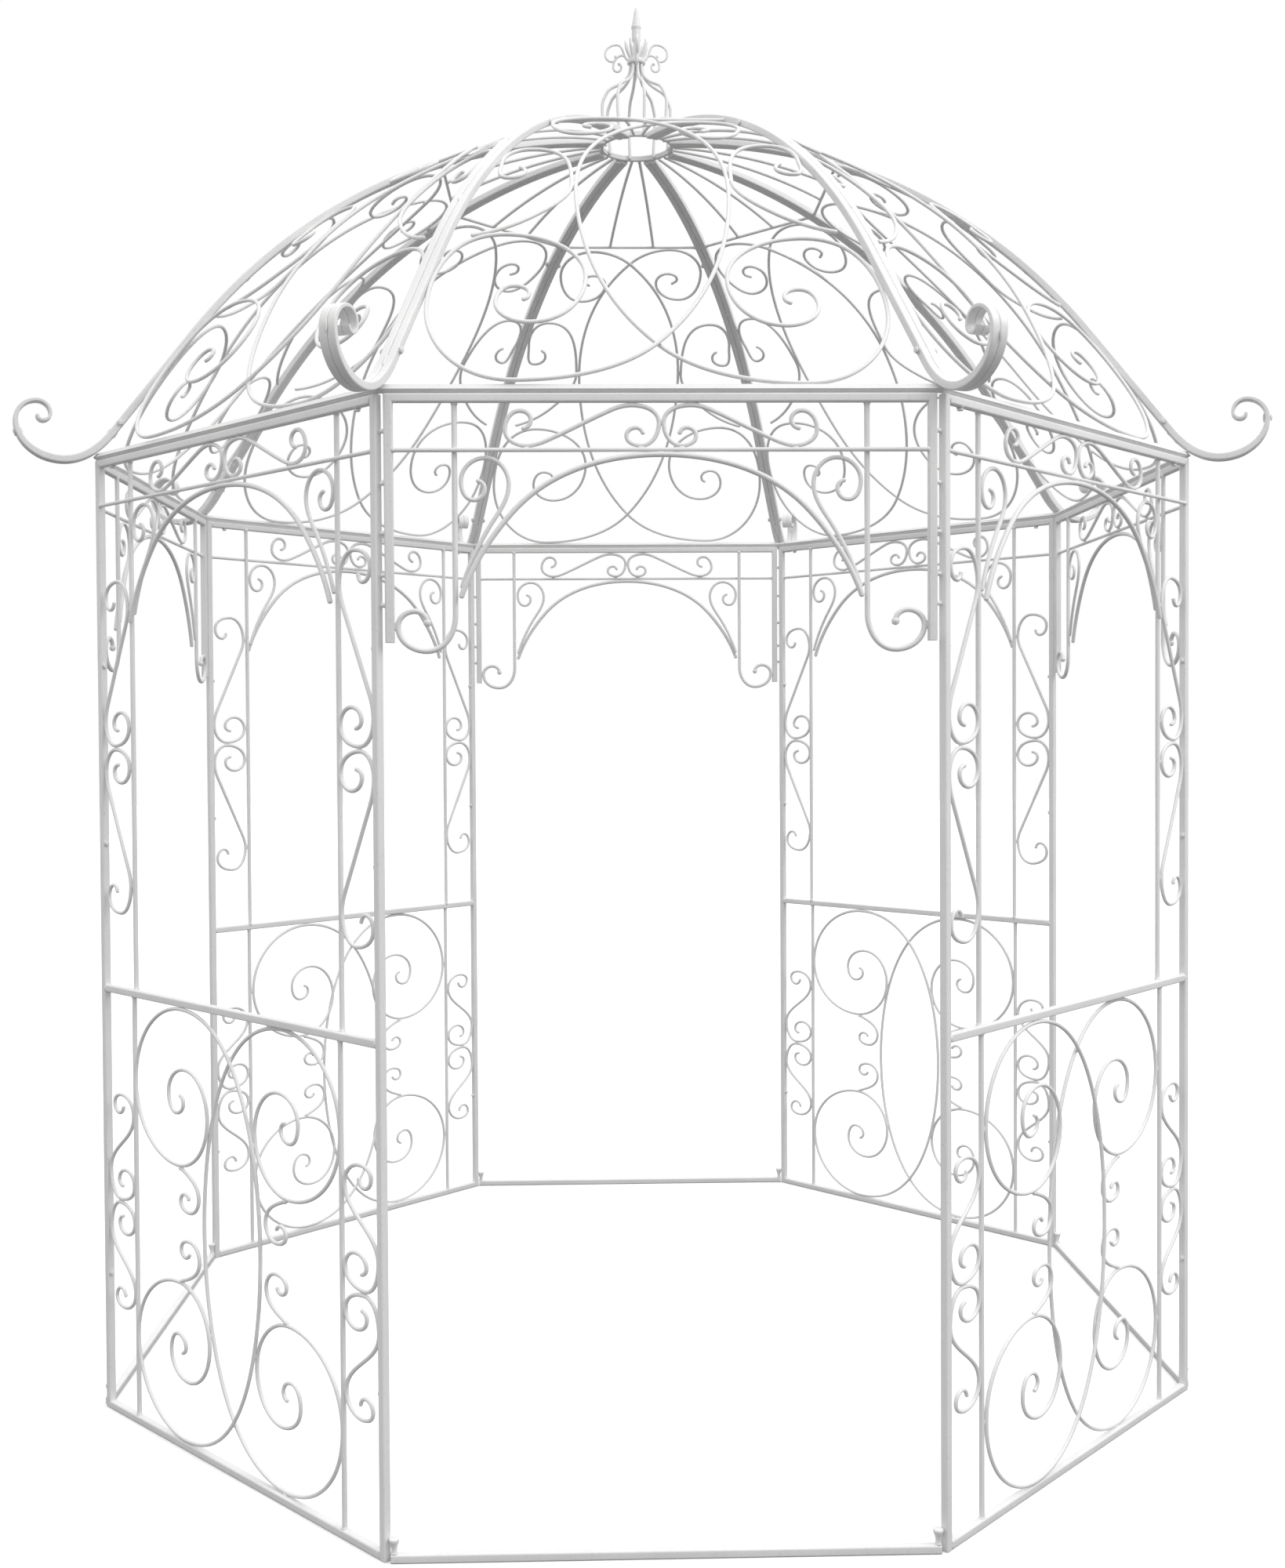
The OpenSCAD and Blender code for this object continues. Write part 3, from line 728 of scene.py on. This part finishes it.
# One side of the roof: eaves rail, cross bar, looped bars, S-scrolls with tails and two straight bars
def roof_scrolls(turn, name):
    s = Steel(turn)
    # the looped bars reach down to the eaves rail and out to a little before the ribs
    spare = 4.5
    ks = (roof_l - scroll_d / 2 - seat) / ROOF_LOOP[10][1]
    kx = (clear_at(ROOF_LOOP[11][1] * ks) - spare) / -ROOF_LOOP[11][0]
    cross = on_roof(0, cross_l)
    rib_side = (rib_w + 1.5 * seat) / cos(22.5)
    cross_x = rib_r_at(cross_l) * sin(22.5) - rib_side - scroll_d / 2 * tan(22.5)
    tail_in = ROOF_LOOP[8][0] * kx + scroll_d + seat
    tail_k = (clear_at(ROOF_TAIL[3][1] * ks) - 1 - tail_in) / (ROOF_TAIL[5][0] - ROOF_TAIL[3][0])
    tail_at = tail_in + ROOF_TAIL[5][0] * tail_k
    # the straight bars run from the crown ring down to the cross bar and spread from top_x to end_x
    top_s = ((crown_r + seat) / cos(22.5) - crown_r) / cos(crown_slope)
    end_s = cross_l - scroll_d / 2 - seat
    top_x, end_x = 9.5, 60 * kx
    # the eaves rail runs on under the ribs, to a mitre on the corner
    down = np.array((0, -cos(eaves_slope), -sin(eaves_slope)))
    up = np.array((0, -sin(eaves_slope), cos(eaves_slope)))
    section = [np.array((0, -wall_r, eaves_z)) + down * x + up * y for x, y in outline("sharp", eaves_w)]
    s.add([[(e * (-p[1] * tan(22.5) - seat / 2), p[1], p[2]) for p in section] for e in (-1, 1)])
    rail_x = (wall_r - eaves_w * 0.7) * tan(22.5) - rib_side
    s.lines.append((dense([(-rail_x, -wall_r, eaves_z), (rail_x, -wall_r, eaves_z)]), eaves_w))
    s.bar((-cross_x, *cross[1:]), (cross_x, *cross[1:]), scroll_d, "round")
    for e in (-1, 1):
        roof_bar(s, path(fit(ROOF_LOOP, 0, 0, e * kx, ks)), e)
        roof_bar(s, path(fit(ROOF_TAIL, e * tail_at, 0, -e * tail_k, ks)), e)
        roof_bar(s, [(e * (top_x + (end_x - top_x) * t), top_s + (end_s - top_s) * t)
                     for t in np.linspace(0, 1, 25)], 0)
    s.welds(rib_lines)
    s.make("steel_" + name, name)


# Crown ring: flat bar with eased edges and a groove round the middle of both faces
def crown():
    s = Steel(0)
    out, hole = crown_r, crown_r - crown_t
    low, top = ring_z, ring_z + crown_h
    ease_in, ease_up, deep = 1.5, 2, 1
    below, groove, above = low + crown_h * 0.44, low + crown_h * 0.5, low + crown_h * 0.56
    profile = [
        (hole, low + ease_up), (hole + ease_in, low), (out - ease_in, low), (out, low + ease_up),
        (out, below), (out - deep, groove), (out, above),
        (out, top - ease_up), (out - ease_in, top), (hole + ease_in, top), (hole, top - ease_up),
        (hole, above), (hole + deep, groove), (hole, below),
    ]
    steps = 96
    for i in range(steps):
        a = 360 * i / steps
        s.verts += [(q * cos(a) * MM, q * sin(a) * MM, z * MM) for q, z in profile]
    m = len(profile)
    for i in range(steps):
        a, b = i * m, (i + 1) % steps * m
        s.faces += [(a + j, a + (j + 1) % m, b + (j + 1) % m, b + j)[::-1] for j in range(m)]
    s.make("steel_crown_ring", "crown_ring")


# Lantern: eight bars from inside the crown ring up to the collar
def lantern():
    foot_r = crown_r - crown_t - scroll_d / 2 - seat
    belly_z = ring_z + crown_h + lantern_h * 0.44
    neck_r = (scroll_d + seat) / 2 / sin(22.5) + scroll_d / 2
    knots = [(foot_r, ring_z + 2, 88), (lantern_r, belly_z, 91),
             (lantern_r * 0.86, belly_z + lantern_h * 0.18, 118),
             (lantern_r * 0.53, belly_z + lantern_h * 0.285, 150),
             (neck_r * 1.45, belly_z + lantern_h * 0.40, 122), (neck_r, collar_z - seat, 90)]
    s = Steel(0)
    weld_r, foot_weld = foot_r + 3, (7, 12)
    for i in range(8):
        a = 45 * i + lantern_turn
        s.spoke(path(knots), a, scroll_d)
        s.ball((weld_r * cos(a), weld_r * sin(a), ring_z + crown_h - 2), foot_weld)
    s.make("steel_lantern", "lantern")


# Finial: collar, the bars' pointed ends, small scrolls and the spear
def finial():
    s = Steel(0)
    spear_r = 11
    foot_z, ridge_z, neck_z = finial_h * 0.42, finial_h * 0.65, finial_h * 0.91
    r, h = collar_r, collar_h
    collar = [(10, 0), (r - 3, 0), (r - 1, 1), (r, 3.2), (r, h - 3.2), (r - 1, h - 1), (r - 3, h)]
    shaft = [(9, h + 0.8), (7, h + 3), (7, foot_z - 6), (spear_r - 1, foot_z - 1), (spear_r, foot_z + 1)]
    ridge = [(spear_r * 0.97, ridge_z - 8), (spear_r, ridge_z - 6), (spear_r * 1.14, ridge_z - 1),
             (spear_r * 1.14, ridge_z + 1), (spear_r, ridge_z + 4)]
    point = [(spear_r * 0.45, neck_z), (spear_r * 0.3, finial_h - 5), (1, finial_h - 0.5), (0.3, finial_h)]
    s.turned((0, 0, collar_z), collar + shaft + ridge + point, 32)
    mid = collar_z + collar_h / 2
    point_d, point_l = 4.4, 16
    for i in range(8):
        s.spoke([(x, mid + z) for x, z in path(FLARE)], 45 * i + lantern_turn, scroll_d, point_d, point_l)
    for a in range(0, 360, 90):
        for knots in (CURL_TOP, CURL_LOW):
            curl = [(x, mid + z) for x, z in path(knots)]
            s.spoke(curl, a, curl_d)
            # a drop at the curl's end
            tip, ahead = curl[-1], np.subtract(curl[-1], curl[-3])
            s.ball((tip[0] * cos(a), tip[0] * sin(a), tip[1]), (curl_d * 1.5, curl_d * 1.7),
                   (ahead[0] * cos(a), ahead[0] * sin(a), ahead[1]))
    s.make("steel_finial", "finial")


rib_lines = ribs_beside()
SIDES = ["front_right", "back_right", "back_left", "front_left"]
DOORS = ["front", "right", "back", "left"]
around = []
for i in range(4):
    header = door_header(90 * i, "door_header_" + DOORS[i])
    around.append(header + header_scrolls(90 * i, "header_scrolls_" + DOORS[i], header))
    sill(90 * i, "sill_" + DOORS[i])
    panel = side_panel(90 * i + 45, "side_panel_" + SIDES[i])
    balustrade(90 * i + 45, "balustrade_" + SIDES[i], panel)
    around.append(panel + panel_scrolls(90 * i + 45, "panel_scrolls_" + SIDES[i], panel))
arches(around)
for i in range(8):
    rib(45 * i - 67.5, "rib_%d" % (i + 1))
    roof_scrolls(45 * i, "roof_scrolls_%d" % (i + 1))
crown()
lantern()
finial()


# Camera: solved from the wall corners in the photograph, which is 2000 pixels high
def camera():
    high_px, focal_px = 2000, 2060.0
    off_x_px, off_y_px = -24.6, -25.8
    place = Vector((-0.1381, -4.0885, 1.4899))
    yaw, pitch, roll = -0.0232, -0.0200, -0.0059
    right = Vector((math.cos(yaw), math.sin(yaw), 0))
    ahead = Vector((-math.sin(yaw), math.cos(yaw), 0))
    up = Vector((0, 0, 1))
    ahead, up = (ahead * math.cos(pitch) + up * math.sin(pitch),
                 up * math.cos(pitch) - ahead * math.sin(pitch))
    right, up = (right * math.cos(roll) + up * math.sin(roll),
                 up * math.cos(roll) - right * math.sin(roll))
    sensor_mm = 36
    data = bpy.data.cameras.new("camera")
    data.sensor_width = sensor_mm
    data.lens = focal_px / high_px * sensor_mm
    data.shift_x = -off_x_px / high_px
    data.shift_y = off_y_px / high_px
    cam = bpy.data.objects.new("camera", data)
    cam.matrix_world = Matrix.Translation(place) @ Matrix((right, up, -ahead)).transposed().to_4x4()
    bpy.context.collection.objects.link(cam)
    bpy.context.scene.camera = cam


# Pale floor, clear from below, a white sky that is brighter overhead, and one large soft lamp
def stage():
    reach = 30
    mesh = bpy.data.meshes.new("floor")
    mesh.from_pydata([(-reach, -reach, 0), (reach, -reach, 0), (reach, reach, 0), (-reach, reach, 0)],
                     [], [(0, 1, 2, 3)])
    mat = bpy.data.materials.new("pale_floor")
    mat.use_nodes = True
    nodes, links = mat.node_tree.nodes, mat.node_tree.links
    shader = nodes["Principled BSDF"]
    shader.inputs["Roughness"].default_value = 1
    shader.inputs["Specular IOR Level"].default_value = 0
    # the camera sees floor_tone, and the light that leaves the floor comes from floor_bounce
    seen = nodes.new("ShaderNodeLightPath")
    tone = nodes.new("ShaderNodeMix")
    tone.data_type = "RGBA"
    tone.inputs["A"].default_value = (floor_bounce, floor_bounce, floor_bounce, 1)
    tone.inputs["B"].default_value = (floor_tone, floor_tone, floor_tone, 1)
    links.new(seen.outputs["Is Camera Ray"], tone.inputs["Factor"])
    links.new(tone.outputs["Result"], shader.inputs["Base Color"])
    # the floor is clear where it is seen from below
    side = nodes.new("ShaderNodeNewGeometry")
    upper = nodes.new("ShaderNodeMath")
    upper.operation = "SUBTRACT"
    upper.inputs[0].default_value = 1
    links.new(side.outputs["Backfacing"], upper.inputs[1])
    links.new(upper.outputs["Value"], shader.inputs["Alpha"])
    mesh.materials.append(mat)
    floor = bpy.data.objects.new("floor", mesh)
    bpy.context.collection.objects.link(floor)

    world = bpy.data.worlds.new("studio")
    bpy.context.scene.world = world
    world.use_nodes = True
    nodes, links = world.node_tree.nodes, world.node_tree.links
    sky = nodes["Background"]
    sky.inputs["Color"].default_value = (1, 1, 1, 1)
    direction = nodes.new("ShaderNodeTexCoord")
    height = nodes.new("ShaderNodeSeparateXYZ")
    links.new(direction.outputs["Generated"], height.inputs["Vector"])
    fade = nodes.new("ShaderNodeMapRange")
    fade.inputs["From Min"].default_value = 0
    fade.inputs["From Max"].default_value = 1
    fade.inputs["To Min"].default_value = low_sky
    fade.inputs["To Max"].default_value = high_sky
    links.new(height.outputs["Z"], fade.inputs["Value"])
    links.new(fade.outputs["Result"], sky.inputs["Strength"])
    # behind the part the camera sees plain white
    backdrop = nodes.new("ShaderNodeBackground")
    backdrop.inputs["Color"].default_value = (1, 1, 1, 1)
    light_path = nodes.new("ShaderNodeLightPath")
    mix = nodes.new("ShaderNodeMixShader")
    links.new(light_path.outputs["Is Camera Ray"], mix.inputs["Fac"])
    links.new(sky.outputs["Background"], mix.inputs[1])
    links.new(backdrop.outputs["Background"], mix.inputs[2])
    links.new(mix.outputs["Shader"], nodes["World Output"].inputs["Surface"])

    lamp = bpy.data.lights.new("soft_key", "AREA")
    lamp.shape = "DISK"
    lamp.size = key_size
    lamp.energy = key_power
    key = bpy.data.objects.new("soft_key", lamp)
    key.location = key_place
    key.rotation_euler = (Vector(key_aim) - key.location).to_track_quat("-Z", "Y").to_euler()
    bpy.context.collection.objects.link(key)
    bpy.context.scene.view_settings.view_transform = "Standard"


camera()
stage()
